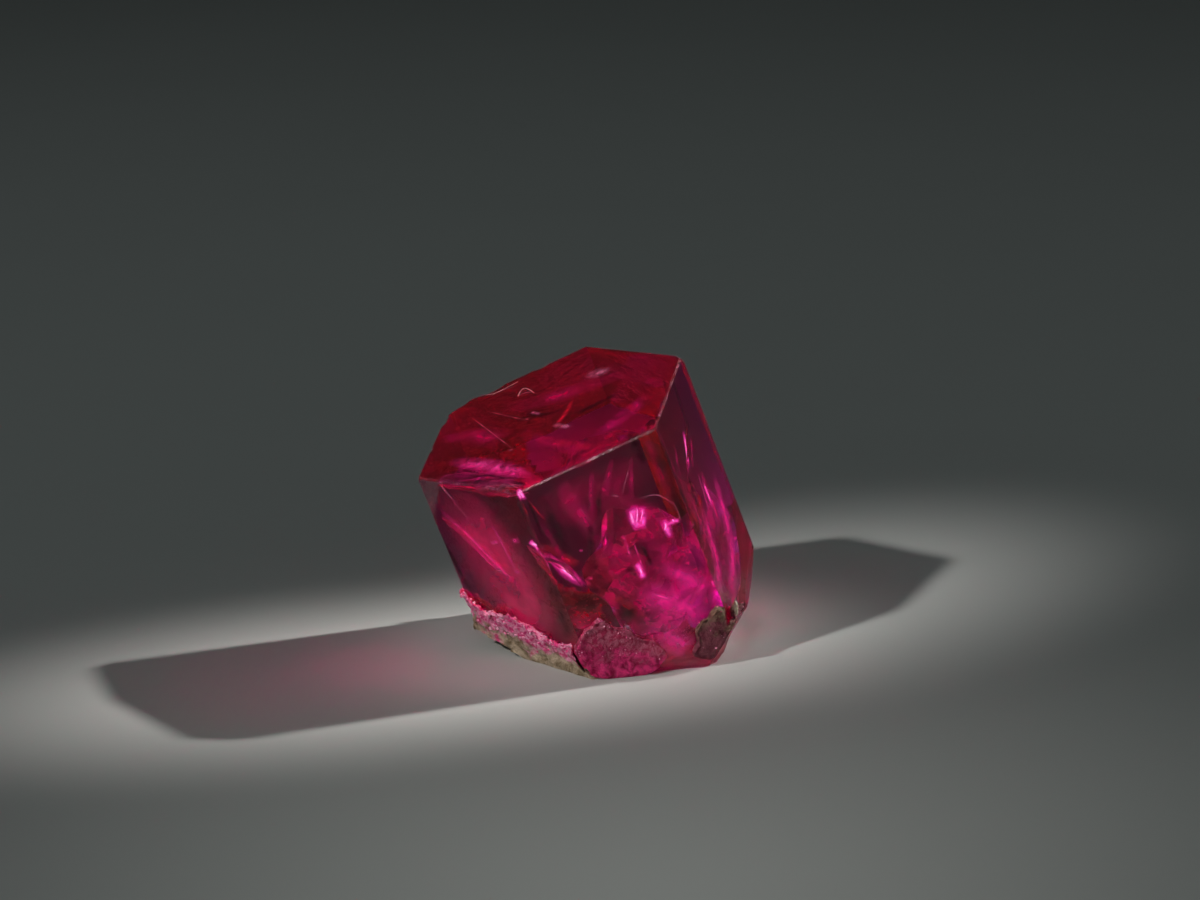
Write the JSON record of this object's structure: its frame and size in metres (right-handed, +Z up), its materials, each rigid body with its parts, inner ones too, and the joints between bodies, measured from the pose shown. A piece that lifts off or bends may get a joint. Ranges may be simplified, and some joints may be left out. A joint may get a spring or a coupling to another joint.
{
  "type": "raw red beryl crystal",
  "caption": "Stubby hexagonal gem crystal with a flat end, leaning on its broken foot, with bits of pale host rock clinging round the base.",
  "frame": {"origin": "on the surface the crystal rests on, under the middle of its bounding box", "axes": "+Z up from the resting surface; the crystal leans to -X and -Y, and its front face looks along -Y"},
  "size_m": [0.0058, 0.0054, 0.0051],
  "materials": {
    "beryl": "vitreous, transparent raspberry red, with frosted fractures inside",
    "pale_rock": "rough, grainy, pink to olive grey",
    "tan_rock": "rough, grainy, tan to grey"
  },
  "bodies": {
    "root": {"crystal": "beryl", "matrix_rind": "pale_rock", "matrix_flake": "pale_rock", "matrix_patch": "tan_rock"}
  },
  "joints": []
}
